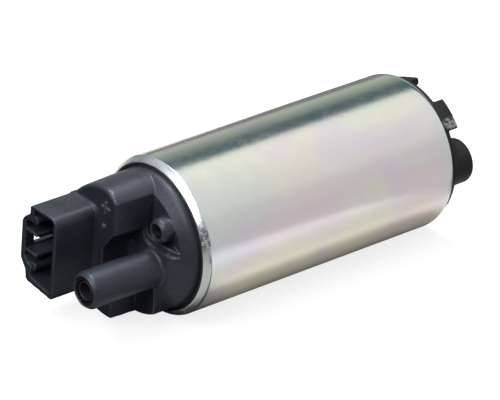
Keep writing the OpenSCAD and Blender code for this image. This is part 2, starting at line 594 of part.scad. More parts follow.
module inlet_cover() {
  xf = xi - 1.4;
  xe = xi - inlet_reach;
  ir = inlet_d / 2;
  color([0.16, 0.165, 0.17])
  difference() {
    union() {
      turned([[0, pump_x], [Ri - 0.04, pump_x], [Ri - 0.04, xi + 1.45], [Ri - 0.92, xi + 0.68],
              [Ri - 0.92, xi - 0.28], [R - 1.3, xi - 0.32], [R - 1.17, xi - 0.5], [R - 1.17, xi - 1.35],
              [R - 1.3, xi - 1.6], [R - 2.3, xi - 1.6], [R - 2.5, xf], [0, xf]]);
      // inlet boss
      at(inlet) turned([[0, xf + 1], [ir + 0.5, xf + 0.5], [ir + 0.5, xf], [ir + 0.1, xf - 0.5], [ir, xf - 0.9], [ir, xe + 0.9],
              [ir - 0.25, xe + 0.3], [ir - 0.8, xe], [0, xe]]);
      // lugs that hold the strainer's seat
      intersection() {
        turned([[15.2, xf + 1], [18.0, xf + 1], [18.0, xi - 4.1], [17.6, xi - 4.5], [15.6, xi - 4.5], [15.2, xi - 4.1]]);
        yz(xi - 5) linear_extrude(6) union() {
          polygon(concat([[0, 0]], arc(24, 39.5, 65.0, 4)));
          polygon(concat([[0, 0]], arc(24, 159.5, 185, 4)));
          polygon(concat([[0, 0]], arc(24, 279.5, 305, 4)));
        }
      }
      intersection() {
        turned([[15.9, xf + 1], [17.95, xf + 1], [17.95, xi - 3.8], [17.55, xi - 4.3], [16.3, xi - 4.3], [15.9, xi - 4.0]]);
        yz(xi - 5) linear_extrude(6) polygon(concat([[0, 0]], arc(24, 93, 106.5, 4)));
        translate([xi - 4.3, -0.9, 0]) rotate([0, 0, 37]) translate([0, -20, 0]) cube([30, 40, 30]);
      }
      // locating peg
      at([14.6, -7.5]) turned([[0, xf + 1], [1.1, xf + 1], [1.1, xi - 2.2], [0.7, xi - 2.6], [0, xi - 2.6]]);
      // boss behind the thrust pad, with ribs to the rim
      turned([[0, xf + 1], [5.0, xf + 1], [5.0, xf - 0.9], [4.4, xf - 1.5], [0, xf - 1.5]]);
      for (a = [120, 180, 240, 300]) rotate([a, 0, 0]) translate([xf - 0.8, 4, -0.7]) cube([1.8, 11.5, 1.4]);
    }
    // inlet bore
    at(inlet) turned([[0, xe - 1], [inlet_bore_d / 2 + 0.5, xe - 1], [inlet_bore_d / 2 + 0.5, xe],
              [inlet_bore_d / 2, xe + 0.5], [inlet_bore_d / 2, xf + 2.0], [1.7, xf + 3.4], [1.7, pump_x + 1], [0, pump_x + 1]]);
    // flow channel under the vanes
    yz(pump_x) rotate([0, 0, 2]) rotate_extrude(angle = 320)
      translate([chan_r, 0]) circle(r = 1.75, $fn = 48);
    // vapour vent
    rotate([118, 0, 0]) at([chan_r - 1.5, 0]) yz(xf - 3) cylinder(h = 9, r = 0.6, $fn = 32);
    // thrust pad's seat
    yz(pump_x - 2.6) cylinder(h = 3, r = 2.52);
  }
}

module thrust_pad() {
  color([0.82, 0.80, 0.74])
  turned([[0, pump_x - 2.58], [2.3, pump_x - 2.58], [2.5, pump_x - 2.4], [2.5, pump_x - 0.95],
          [2.3, pump_x - 0.8], [0, pump_x - 0.8]]);
}

// ---- check valve in the nipple -------------------------------------------

module check_valve_poppet() {
  color([0.55, 0.16, 0.10])
  at(nip) turned([[0, xo + 10.6], [1.6, xo + 11.0], [2.1, xo + 11.5], [2.95, xo + 12.45], [3.0, xo + 12.8],
          [2.8, xo + 13.2], [0.75, xo + 13.2], [0.75, xo + 20.6], [0.55, xo + 20.9], [0, xo + 20.9]]);
}
module check_valve_spring() {
  color([0.72, 0.73, 0.74]) at(nip) coil(xo + 13.24, xo + 19.36, 1.75, 0.18, 7, 24);
}
module check_valve_retainer() {
  color([0.10, 0.10, 0.11])
  difference() {
    union() {
      // plate with the stem's guide, the rim in the nipple's bore, and the tube
      at(nip) turned([[0.82, xo + 19.4], [nip_bore - 0.02, xo + 19.4], [nip_bore - 0.02, tip_x - 2.1],
            [nip_bore - 0.2, tip_x - 1.9], [2.42, tip_x - 1.9], [2.38, tip_x - 0.75], [2.3, tip_x - 0.65],
            [2.12, tip_x - 0.65], [2.05, tip_x - 0.75], [2.05, xo + 20.5], [0.82, xo + 20.5]]);
      // ribs that hold it in the mouth
      for (k = [0 : 19]) at(nip) rotate([k * 18, 0, 0]) translate([tip_x - 2.2, nip_bore - 0.62, -0.16]) cube([1.85, 0.6, 0.32]);
    }
    // three ways round the stem's guide
    for (k = [0 : 2]) at(nip) rotate([k * 120 + 90, 0, 0]) yz(xo + 19) linear_extrude(2)
      polygon(concat(arc(1.3, -42, 42, 5), arc(1.95, 48, -48, 6)));
  }
}

// ---- relief valve in the nub ---------------------------------------------

module relief_valve_ball() {
  color([0.80, 0.81, 0.83]) at(nub) translate([xo + 1.03, 0, 0]) sphere(r = 1.45);
}
module relief_valve_spring() {
  color([0.72, 0.73, 0.74]) at(nub) coil(xo + 1.98, xo + 4.75, 1.35, 0.14, 4, 24);
}
module relief_valve_retainer() {
  color([0.10, 0.10, 0.11])
  at(nub) {
    turned([[0.86, xo + 4.8], [1.83, xo + 4.8], [1.83, face_x + 0.45], [1.72, face_x + 0.52], [1.6, face_x + 0.45],
            [1.6, xo + 5.15], [1.06, xo + 5.15], [1.06, face_x + 0.1], [0.98, face_x + 0.16], [0.86, face_x + 0.1]]);
    // ribs round its mouth
    for (k = [0 : 13]) rotate([k * 360 / 14, 0, 0]) translate([xo + 5.0, 1.32, -0.12]) cube([cover_h - 4.7, 0.4, 0.24]);
  }
}

// --------------------------------------------------------------------------

housing_shell();
outlet_cover();
terminal_positive();
terminal_negative();
choke_cores();
choke_coil_positive();
choke_coil_negative();
brush_holder();
brush_positive();
brush_negative();
brush_spring_positive();
brush_spring_negative();
brush_lead_positive();
brush_lead_negative();
upper_bearing();
lower_bearing();
rotor_shaft();
armature_core();
armature_windings();
commutator_base();
commutator_bars();
commutator_carbons();
magnet_upper();
magnet_lower();
magnet_spring();
magnet_stop();
pump_casing();
impeller();
inlet_cover();
thrust_pad();
check_valve_poppet();
check_valve_spring();
check_valve_retainer();
relief_valve_ball();
relief_valve_spring();
relief_valve_retainer();
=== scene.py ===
import json
import math

import bmesh
import bpy
import numpy as np
from mathutils import Matrix, Vector


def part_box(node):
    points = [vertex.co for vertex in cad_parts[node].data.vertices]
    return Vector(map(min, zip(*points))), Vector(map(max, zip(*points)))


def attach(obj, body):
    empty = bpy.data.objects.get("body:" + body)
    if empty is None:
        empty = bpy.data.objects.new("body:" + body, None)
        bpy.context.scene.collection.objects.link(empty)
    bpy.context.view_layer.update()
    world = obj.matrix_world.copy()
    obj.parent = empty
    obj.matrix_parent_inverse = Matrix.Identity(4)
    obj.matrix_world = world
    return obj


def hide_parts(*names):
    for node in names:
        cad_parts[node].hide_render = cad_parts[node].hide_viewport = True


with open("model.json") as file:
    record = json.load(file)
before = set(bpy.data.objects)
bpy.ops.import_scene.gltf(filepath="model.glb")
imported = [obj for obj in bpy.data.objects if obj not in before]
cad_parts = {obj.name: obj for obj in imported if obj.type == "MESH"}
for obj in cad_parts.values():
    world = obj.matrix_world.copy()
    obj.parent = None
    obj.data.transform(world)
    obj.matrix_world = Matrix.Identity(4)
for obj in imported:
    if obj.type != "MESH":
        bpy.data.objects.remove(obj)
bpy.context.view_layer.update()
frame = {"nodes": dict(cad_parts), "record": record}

NODES = frame["nodes"]
MM = 0.001
scene = bpy.context.scene

# ---------------------------------------------------------------- camera ----
cam_data = bpy.data.cameras.new("camera")
cam = bpy.data.objects.new("camera", cam_data)
scene.collection.objects.link(cam)
cam_data.sensor_fit = "HORIZONTAL"
cam_data.sensor_width = 36.0
cam_data.lens = 270.04
cam_data.clip_start = 0.02
cam_data.clip_end = 20.0
right = Vector((-0.77024, 0.63327, 0.07551))
up = Vector((-0.27286, -0.43424, 0.85848))
back = Vector((0.57643, 0.64063, 0.50726))
rot = Matrix((right, up, back)).transposed()
cam.matrix_world = Matrix.Translation(Vector((508.66, 554.90, 440.22)) * MM) @ rot.to_4x4()
scene.camera = cam

# ------------------------------------------------------ light and surroundings
scene.view_settings.view_transform = "Standard"
scene.view_settings.look = "None"
scene.view_settings.exposure = 0.0


def new_nodes(tree):
    tree.nodes.clear()
    return tree.nodes, tree.links


world = bpy.data.worlds.new("studio")
scene.world = world
world.use_nodes = True
wn, wl = new_nodes(world.node_tree)
w_out = wn.new("ShaderNodeOutputWorld")
w_mix = wn.new("ShaderNodeMixShader")
w_path = wn.new("ShaderNodeLightPath")
w_seen = wn.new("ShaderNodeBackground")
w_seen.inputs["Color"].default_value = (0.93, 0.935, 0.94, 1)
w_seen.inputs["Strength"].default_value = 1.0
w_light = wn.new("ShaderNodeBackground")
w_tc = wn.new("ShaderNodeTexCoord")
w_sep = wn.new("ShaderNodeSeparateXYZ")
wl.new(w_tc.outputs["Generated"], w_sep.inputs[0])
# angle about the X axis, 0 at +Y, a quarter turn at +Z
w_at = wn.new("ShaderNodeMath"); w_at.operation = "ARCTAN2"
wl.new(w_sep.outputs["Z"], w_at.inputs[0]); wl.new(w_sep.outputs["Y"], w_at.inputs[1])
w_map = wn.new("ShaderNodeMapRange")
w_map.inputs["From Min"].default_value = 0.0
w_map.inputs["From Max"].default_value = math.pi
wl.new(w_at.outputs[0], w_map.inputs["Value"])
w_ramp = wn.new("ShaderNodeValToRGB")
cr = w_ramp.color_ramp
cr.interpolation = "EASE"
STOPS = [(0.0, (0.64, 0.63, 0.64)), (0.14, (0.68, 0.68, 0.67)), (0.28, (0.81, 0.81, 0.80)), (0.42, (0.90, 0.89, 0.865)),
         (0.56, (0.94, 0.935, 0.90)), (0.656, (0.93, 0.93, 0.90)), (0.688, (0.065, 0.115, 0.145)), (0.775, (0.065, 0.115, 0.135)),
         (0.85, (0.27, 0.33, 0.30)), (0.93, (0.44, 0.49, 0.43)), (1.0, (0.55, 0.58, 0.52))]
while len(cr.elements) < len(STOPS):
    cr.elements.new(0.5)
for e, (p, v) in zip(cr.elements, STOPS):
    e.position = p
    e.color = (*v, 1)
wl.new(w_map.outputs[0], w_ramp.inputs["Fac"])
# the half towards +X is dim near the horizon and white above
w_mx = wn.new("ShaderNodeMapRange")
w_mx.interpolation_type = "SMOOTHSTEP"
w_mx.inputs["From Min"].default_value = -0.42
w_mx.inputs["From Max"].default_value = -0.05
wl.new(w_sep.outputs["X"], w_mx.inputs["Value"])
w_mz = wn.new("ShaderNodeMapRange")
w_mz.interpolation_type = "SMOOTHSTEP"
w_mz.inputs["From Min"].default_value = 0.15
w_mz.inputs["From Max"].default_value = 0.75
wl.new(w_sep.outputs["Z"], w_mz.inputs["Value"])
w_half = wn.new("ShaderNodeMixRGB")
w_half.inputs["Color1"].default_value = (0.25, 0.275, 0.32, 1)
w_half.inputs["Color2"].default_value = (0.72, 0.755, 0.82, 1)
wl.new(w_mz.outputs[0], w_half.inputs["Fac"])
w_front = wn.new("ShaderNodeMixRGB")
wl.new(w_mx.outputs[0], w_front.inputs["Fac"])
wl.new(w_ramp.outputs["Color"], w_front.inputs["Color1"])
wl.new(w_half.outputs[0], w_front.inputs["Color2"])
wl.new(w_front.outputs[0], w_light.inputs["Color"])
w_light.inputs["Strength"].default_value = 1.0
wl.new(w_path.outputs["Is Camera Ray"], w_mix.inputs["Fac"])
wl.new(w_light.outputs[0], w_mix.inputs[1])
wl.new(w_seen.outputs[0], w_mix.inputs[2])
wl.new(w_mix.outputs[0], w_out.inputs["Surface"])


def softbox(name, direction, distance, size, power, colour=(1, 1, 1)):
    d = bpy.data.lights.new(name, "AREA")
    d.shape = "RECTANGLE"
    d.size, d.size_y = size
    d.energy = power
    d.color = colour
    o = bpy.data.objects.new(name, d)
    scene.collection.objects.link(o)
    v = Vector(direction).normalized()
    o.location = v * distance
    o.rotation_euler = v.to_track_quat("Z", "Y").to_euler()
    return o


softbox("key", (0.72, 0.10, 0.68), 0.9, (0.62, 0.62), 7.5, (1.0, 0.99, 0.965))
softbox("overhead", (-0.08, -0.22, 1.0), 1.0, (0.34, 0.34), 12.0, (0.93, 0.97, 1.0))

# floor
bm = bmesh.new()
bmesh.ops.create_grid(bm, x_segments=2, y_segments=2, size=6.0)
fl = bpy.data.meshes.new("floor")
bm.to_mesh(fl); bm.free()
floor = bpy.data.objects.new("floor", fl)
scene.collection.objects.link(floor)
floor.location = (0, 0, -0.019)
fm = bpy.data.materials.new("floor_white")
fm.use_nodes = True
fn, fll = new_nodes(fm.node_tree)
f_out = fn.new("ShaderNodeOutputMaterial")
f_mix = fn.new("ShaderNodeMixShader")
f_path = fn.new("ShaderNodeLightPath")
f_lit = fn.new("ShaderNodeBsdfDiffuse")
# what the part sees of it is painted, not the even white the camera sees: cream beside the shell, with painted shade
# falling off past the outlet and past the inlet
f_tc = fn.new("ShaderNodeTexCoord")
f_sep = fn.new("ShaderNodeSeparateXYZ")
fll.new(f_tc.outputs["Object"], f_sep.inputs[0])
f_near = fn.new("ShaderNodeMapRange")
f_near.inputs["From Min"].default_value = 0.015
f_near.inputs["From Max"].default_value = 0.075
fll.new(f_sep.outputs["Y"], f_near.inputs["Value"])
f_tone = fn.new("ShaderNodeValToRGB")
f_tone.color_ramp.interpolation = "EASE"
F_STOPS = [(0.0, (0.50, 0.475, 0.42)), (0.13, (0.47, 0.45, 0.40)), (0.30, (0.355, 0.340, 0.310)), (0.52, (0.365, 0.352, 0.335)), (0.80, (0.445, 0.435, 0.44))]
while len(f_tone.color_ramp.elements) < len(F_STOPS):
    f_tone.color_ramp.elements.new(0.5)
for fe, (fp, fv) in zip(f_tone.color_ramp.elements, F_STOPS):
    fe.position = fp
    fe.color = (*fv, 1)
fll.new(f_near.outputs[0], f_tone.inputs["Fac"])
f_end = fn.new("ShaderNodeMapRange")
f_end.interpolation_type = "SMOOTHSTEP"
f_end.inputs["From Min"].default_value = 0.018
f_end.inputs["From Max"].default_value = 0.038
fll.new(f_sep.outputs["X"], f_end.inputs["Value"])
# painted shade: near black past the outlet and dark grey past the inlet, seen only by rays from the part
f_fall = fn.new("ShaderNodeMixRGB")
f_fall.inputs["Color2"].default_value = (0.030, 0.034, 0.040, 1)
fll.new(f_end.outputs[0], f_fall.inputs["Fac"])
fll.new(f_tone.outputs[0], f_fall.inputs["Color1"])
f_inlet = fn.new("ShaderNodeMapRange")
f_inlet.interpolation_type = "SMOOTHSTEP"
f_inlet.inputs["From Min"].default_value = -0.052
f_inlet.inputs["From Max"].default_value = -0.072
fll.new(f_sep.outputs["X"], f_inlet.inputs["Value"])
f_fall2 = fn.new("ShaderNodeMixRGB")
f_fall2.inputs["Color2"].default_value = (0.10, 0.10, 0.10, 1)
fll.new(f_inlet.outputs[0], f_fall2.inputs["Fac"])
fll.new(f_fall.outputs[0], f_fall2.inputs["Color1"])
fll.new(f_fall2.outputs[0], f_lit.inputs["Color"])
# for glossy rays it glows in these zones, a painted reflection in the part: even out to the horizon, behind the inlet,
# and bright just below the shell's outlet rim


def band(sock, a, b, c=None, d=None):
    """1 between b and c with soft ends a to b and c to d; without c and d it stays 1 past b."""
    out = None
    for lo, hi in ((a, b), (d, c)):
        if lo is None:
            continue
        m = fn.new("ShaderNodeMapRange")
        m.interpolation_type = "SMOOTHSTEP"
        m.inputs["From Min"].default_value = lo
        m.inputs["From Max"].default_value = hi
        fll.new(sock, m.inputs["Value"])
        out = times(out, m.outputs[0]) if out else m.outputs[0]
    return out


def times(a, b):
    m = fn.new("ShaderNodeMath"); m.operation = "MULTIPLY"
    fll.new(a, m.inputs[0]); fll.new(b, m.inputs[1])
    return m.outputs[0]


f_far = band(f_sep.outputs["Y"], 0.085, 0.20)
f_rim = times(band(f_sep.outputs["X"], 0.038, 0.044, 0.09, 0.13), band(f_sep.outputs["Y"], 0.006, 0.011, 0.060, 0.085))
f_back = times(band(f_sep.outputs["X"], None, None, -0.060, -0.048), band(f_sep.outputs["Y"], 0.026, 0.045))
f_two = fn.new("ShaderNodeMath"); f_two.operation = "MAXIMUM"
fll.new(f_far, f_two.inputs[0]); fll.new(f_back, f_two.inputs[1])
f_any = fn.new("ShaderNodeMath"); f_any.operation = "MAXIMUM"
fll.new(f_two.outputs[0], f_any.inputs[0]); fll.new(f_rim, f_any.inputs[1])
# painted reflection: an emitter that only glossy rays see, no lamp
f_soft = fn.new("ShaderNodeEmission")
f_soft.inputs["Color"].default_value = (0.66, 0.64, 0.65, 1)
f_soft.inputs["Strength"].default_value = 1.0
f_under = fn.new("ShaderNodeMixShader")
fll.new(times(f_any.outputs[0], f_path.outputs["Is Glossy Ray"]), f_under.inputs[0])
fll.new(f_lit.outputs[0], f_under.inputs[1])
fll.new(f_soft.outputs[0], f_under.inputs[2])
f_paper = fn.new("ShaderNodeAddShader")
f_diff = fn.new("ShaderNodeBsdfDiffuse")
f_diff.inputs["Color"].default_value = (0.24, 0.24, 0.242, 1)
f_glow = fn.new("ShaderNodeEmission")
f_glow.inputs["Strength"].default_value = 0.80
fll.new(f_diff.outputs[0], f_paper.inputs[0])
fll.new(f_glow.outputs[0], f_paper.inputs[1])
fll.new(f_path.outputs["Is Camera Ray"], f_mix.inputs[0])
fll.new(f_under.outputs[0], f_mix.inputs[1])
fll.new(f_paper.outputs[0], f_mix.inputs[2])
fll.new(f_mix.outputs[0], f_out.inputs["Surface"])
fl.materials.append(fm)


# ------------------------------------------------------------- materials ----
class Look:
    """A procedural material: helpers for its node tree, in the row frame's own metres."""

    def __init__(self, name, rough=0.5, metal=0.0, base=(0.5, 0.5, 0.5), ior=1.5):
        self.m = bpy.data.materials.new(name)
        self.m.use_nodes = True
        self.t = self.m.node_tree
        self.n, self.l = self.t.nodes, self.t.links
        self.b = self.n["Principled BSDF"]
        self.b.inputs["Roughness"].default_value = rough
        self.b.inputs["Metallic"].default_value = metal
        self.b.inputs["IOR"].default_value = ior
        self.b.inputs["Base Color"].default_value = (*base, 1)
        self.tc = self.n.new("ShaderNodeTexCoord").outputs["Object"]
        self.nrm = None

    def const(self, **k):
        for a, v in k.items():
            self.b.inputs[a.replace("_", " ")].default_value = v
        return self

    def vec(self, scale=(1, 1, 1), loc=(0, 0, 0)):
        m = self.n.new("ShaderNodeMapping")
        m.inputs["Scale"].default_value = scale
        m.inputs["Location"].default_value = loc
        self.l.new(self.tc, m.inputs["Vector"])
        return m.outputs[0]

    def noise(self, size, detail=2.0, rough=0.5, vec=None, distort=0.0, loc=None):
        """Noise whose features are about size metres."""
        x = self.n.new("ShaderNodeTexNoise")
        x.inputs["Scale"].default_value = 1.0 / size
        x.inputs["Detail"].default_value = detail
        x.inputs["Roughness"].default_value = rough
        x.inputs["Distortion"].default_value = distort
        if loc is not None:
            vec = self.vec(loc=loc)
        self.l.new(vec if vec is not None else self.tc, x.inputs["Vector"])
        return x.outputs["Fac"]

    def cells(self, size, vec=None, feature="F1", rand=1.0):
        x = self.n.new("ShaderNodeTexVoronoi")
        x.feature = feature
        x.inputs["Scale"].default_value = 1.0 / size
        x.inputs["Randomness"].default_value = rand
        self.l.new(vec if vec is not None else self.tc, x.inputs["Vector"])
        return x.outputs["Distance"]

    def ramp(self, fac, stops, ease="LINEAR"):
        r = self.n.new("ShaderNodeValToRGB")
        c = r.color_ramp
        c.interpolation = ease
        while len(c.elements) < len(stops):
            c.elements.new(0.5)
        for e, (p, v) in zip(c.elements, stops):
            e.position = p
            e.color = (v, v, v, 1) if not hasattr(v, "__len__") else (*v, 1)
        self.l.new(fac, r.inputs["Fac"])
        return r.outputs["Color"]

    def mapr(self, fac, a, b, c, d, smooth=False):
        r = self.n.new("ShaderNodeMapRange")
        if smooth:
            r.interpolation_type = "SMOOTHSTEP"
        for i, v in zip(("From Min", "From Max", "To Min", "To Max"), (a, b, c, d)):
            r.inputs[i].default_value = v
        self.l.new(fac, r.inputs["Value"])
        return r.outputs[0]

    def math(self, op, a, b=None, c=None):
        x = self.n.new("ShaderNodeMath")
        x.operation = op
        for i, v in enumerate((a, b, c)):
            if v is None:
                continue
            if isinstance(v, (int, float)):
                x.inputs[i].default_value = v
            else:
                self.l.new(v, x.inputs[i])
        return x.outputs[0]

    def xyz(self):
        s = self.n.new("ShaderNodeSeparateXYZ")
        self.l.new(self.tc, s.inputs[0])
        return s.outputs

    def mix(self, fac, a, b, kind="MIX"):
        x = self.n.new("ShaderNodeMixRGB")
        x.blend_type = kind
        for i, v in zip((0, 1, 2), (fac, a, b)):
            if isinstance(v, (int, float)):
                x.inputs[i].default_value = v
            elif isinstance(v, tuple):
                x.inputs[i].default_value = (*v, 1) if len(v) == 3 else v
            else:
                self.l.new(v, x.inputs[i])
        return x.outputs[0]

    def bump(self, height, strength, distance):
        x = self.n.new("ShaderNodeBump")
        x.inputs["Strength"].default_value = strength
        x.inputs["Distance"].default_value = distance
        self.l.new(height, x.inputs["Height"])
        if self.nrm is not None:
            self.l.new(self.nrm, x.inputs["Normal"])
        self.nrm = x.outputs[0]
        self.l.new(self.nrm, self.b.inputs["Normal"])
        return self

    def to(self, sock, socket_name):
        self.l.new(sock, self.b.inputs[socket_name])
        return self


def plated_steel():
    """Zinc plating with a pale, faintly coloured passivation."""
    k = Look("plated_steel", rough=0.2, metal=1.0)
    x, y, z = k.xyz()
    ang = k.math("ARCTAN2", z, y)
    big = k.noise(0.026, 2.0, 0.45, distort=0.4)
    big2 = k.noise(0.021, 2.0, 0.5, distort=0.6, loc=(0.31, 0.17, 0.53))
    soft = k.noise(0.045, 1.0, 0.4, loc=(0.7, 0.2, 0.1))
    cream, pink, lilac, green, blue = (0.80, 0.785, 0.70), (0.80, 0.715, 0.735), (0.735, 0.70, 0.80), (0.70, 0.775, 0.69), (0.68, 0.745, 0.765)
    c = k.mix(k.mapr(big, 0.44, 0.60, 0, 1, True), cream, pink)
    c = k.mix(k.math("MULTIPLY", k.mapr(big2, 0.50, 0.66, 0, 1, True), 0.75), c, lilac)
    c = k.mix(k.math("MULTIPLY", k.mapr(soft, 0.52, 0.70, 0, 1, True), 0.6), c, green)
    # the ends are bluer
    ends = k.mapr(k.math("ABSOLUTE", x), 0.0315, 0.0375, 0, 0.75, True)
    c = k.mix(ends, c, blue)
    lip = k.mapr(x, 0.0362, 0.0368, 0, 1, True)
    c = k.mix(lip, c, (0.70, 0.735, 0.70))
    # the lip is mottled, and worn through to dark dashes over a short arc
    blot = k.noise(0.0008, 3.0, 0.65, loc=(0.4, 0.1, 0.3))
    c = k.mix(k.math("MULTIPLY", lip, k.mapr(blot, 0.50, 0.68, 0.0, 0.35)), c, (0.44, 0.47, 0.45))
    arc = k.mapr(k.math("ABSOLUTE", k.math("ADD", ang, -0.45)), 0.10, 0.22, 1, 0, True)
    dash = k.math("MULTIPLY", k.mapr(x, 0.0356, 0.0363, 0, 1, True), k.math("MULTIPLY", arc, k.mapr(k.noise(0.0007, 2.0, 0.6, loc=(0.7, 0.2, 0.9)), 0.44, 0.56, 0, 0.8, True)))
    c = k.mix(dash, c, (0.15, 0.17, 0.17))
    grain = k.noise(0.0006, 2.0, 0.6)
    c = k.mix(k.mapr(grain, 0.3, 0.75, 0.0, 0.09), c, (0.52, 0.53, 0.55))
    mott = k.noise(0.0035, 3.0, 0.6)
    c = k.mix(k.mapr(mott, 0.45, 0.8, 0.0, 0.10), c, (0.90, 0.89, 0.84))
    k.to(c, "Base Color")
    r = k.math("ADD", k.mapr(grain, 0.25, 0.75, 0.14, 0.22), k.mapr(mott, 0.3, 0.7, -0.02, 0.03))
    # the rolled lip is scuffed
    r = k.math("ADD", r, k.math("MULTIPLY", lip, k.mapr(mott, 0.3, 0.7, 0.08, 0.20)))
    k.to(r, "Roughness")
    k.bump(k.noise(0.00050, 3.0, 0.65), 0.75, 0.000025)
    k.bump(k.math("MULTIPLY", lip, k.noise(0.0009, 3.0, 0.65)), 0.5, 0.00006)
    k.bump(k.noise(0.0022, 2.0, 0.5), 0.14, 0.00004)
    # drawn lines along the tube
    k.bump(k.noise(0.0005, 1.0, 0.5, vec=k.vec((0.02, 1, 1))), 0.14, 0.00001)
    k.const(Specular_IOR_Level=0.5)
    return k.m


def black_moulding(name="black_moulding", tint=(0.0088, 0.0102, 0.0135), rough=(0.40, 0.54), grain_bump=0.45,
                   edge_colour=(0.052, 0.057, 0.068)):
    """Glass filled moulding: near black, a fine grain, lighter flecks and a soft sheen."""
    k = Look(name, rough=0.45, metal=0.0, base=tint, ior=1.5)
    fine = k.noise(0.00022, 3.0, 0.65)
    mid = k.noise(0.0011, 3.0, 0.6)
    large = k.noise(0.008, 3.0, 0.55, distort=0.5)
    flow = k.noise(0.003, 2.0, 0.5, vec=k.vec((0.25, 1, 1)))
    c = k.mix(k.mapr(large, 0.3, 0.7, 0, 1), tuple(v * 0.85 for v in tint), tuple(v * 1.35 for v in tint))
    c = k.mix(k.mapr(flow, 0.45, 0.8, 0, 0.35), c, tuple(v * 1.9 for v in tint))
    fleck = k.mapr(fine, 0.62, 0.74, 0, 0.35)
    c = k.mix(fleck, c, (0.040, 0.043, 0.050))
    speck = k.noise(0.00038, 2.0, 0.6, loc=(0.2, 0.6, 0.4))
    c = k.mix(k.mapr(speck, 0.50, 0.68, 0, 0.6), c, tuple(v * 3.2 for v in tint))
    # paler along its convex edges and raised marks: partly rubbed wear, partly painted highlight
    wear_and_highlight_attr = k.n.new("ShaderNodeAttribute")
    wear_and_highlight_attr.attribute_name = "wear_and_highlight"
    edge = k.math("MULTIPLY", wear_and_highlight_attr.outputs["Fac"], k.mapr(mid, 0.3, 0.7, 0.55, 1.0))
    c = k.mix(edge, c, edge_colour)
    k.to(c, "Base Color")
    r = k.math("ADD", k.mapr(large, 0.3, 0.7, rough[0], rough[1]), k.mapr(mid, 0.3, 0.7, -0.03, 0.05))
    r = k.math("ADD", r, k.mapr(speck, 0.4, 0.7, 0.04, -0.08))
    k.to(r, "Roughness")
    k.bump(fine, grain_bump, 0.00004)
    k.bump(mid, 0.35, 0.00005)
    k.bump(k.noise(0.005, 2.0, 0.5), 0.25, 0.00008)
    k.const(Specular_Tint=(0.80, 0.89, 1.0, 1.0))
    return k.m


def cast_dark():
    k = Look("dark_casting", rough=0.5, metal=0.0, base=(0.02, 0.021, 0.021), ior=1.5)
    fine = k.noise(0.0003, 4.0, 0.7)
    mid = k.noise(0.0016, 3.0, 0.6)
    large = k.noise(0.006, 2.0, 0.6)
    c = k.mix(k.mapr(large, 0.3, 0.7, 0, 1), (0.0045, 0.005, 0.005), (0.010, 0.010, 0.0095))
    c = k.mix(k.mapr(fine, 0.58, 0.74, 0, 0.5), c, (0.060, 0.056, 0.052))
    # scuffed bright at the end of the largest lug
    x, y, z = k.xyz()
    d = k.math("ADD", k.math("ADD", k.math("POWER", k.math("MULTIPLY", k.math("ADD", x, 0.0405), 0.55), 2.0), k.math("POWER", k.math("ADD", y, -0.0128), 2.0)),
               k.math("POWER", k.math("ADD", z, -0.0127), 2.0))
    near = k.mapr(k.math("SQRT", d), 0.0008, 0.0019, 1, 0, True)
    scuff = k.math("MULTIPLY", near, k.mapr(k.noise(0.0009, 3.0, 0.7), 0.38, 0.60, 0, 1, True))
    c = k.mix(k.math("MULTIPLY", scuff, 0.8), c, (0.22, 0.22, 0.215))
    k.to(c, "Base Color")
    k.to(k.mapr(mid, 0.3, 0.7, 0.44, 0.66), "Roughness")
    k.const(Specular_IOR_Level=0.2)
    k.bump(fine, 0.5, 0.00006)
    k.bump(mid, 0.35, 0.00010)
    return k.m


def metal(name, base, rough, grain=0.0004, stretch=(1, 1, 1), spread=0.08, dark=0.55, bumpy=0.2, patina=None, metallic=1.0):
    k = Look(name, rough=rough, metal=metallic, base=base)
    g = k.noise(grain, 3.0, 0.6, vec=k.vec(stretch))
    m = k.noise(grain * 8, 3.0, 0.55)
    low = tuple(v * dark for v in base)
    c = k.mix(k.mapr(m, 0.3, 0.75, 0, 0.55), base, low)
    c = k.mix(k.mapr(g, 0.35, 0.8, 0, 0.35), c, tuple(min(1.0, v * 1.18) for v in base))
    if patina:
        c = k.mix(k.mapr(k.noise(grain * 20, 4.0, 0.6), 0.52, 0.72, 0, 0.6), c, patina)
    k.to(c, "Base Color")
    k.to(k.mapr(g, 0.25, 0.75, max(0.03, rough - spread), rough + spread), "Roughness")
    k.bump(g, bumpy, 0.00003)
    return k.m


def moulded(name, base, rough=0.5, grain=0.0005, bumpy=0.3, mott=0.35):
    k = Look(name, rough=rough, metal=0.0, base=base)
    g = k.noise(grain, 3.0, 0.6)
    m = k.noise(grain * 9, 3.0, 0.6, distort=0.5)
    c = k.mix(k.mapr(m, 0.3, 0.7, 0, 1), tuple(v * (1 - mott) for v in base), tuple(min(1.0, v * (1 + mott)) for v in base))
    c = k.mix(k.mapr(g, 0.55, 0.8, 0, 0.3), c, tuple(min(1.0, v * 1.8 + 0.01) for v in base))
    k.to(c, "Base Color")
    k.to(k.mapr(g, 0.3, 0.7, rough - 0.08, rough + 0.08), "Roughness")
    k.bump(g, bumpy, 0.00004)
    return k.m


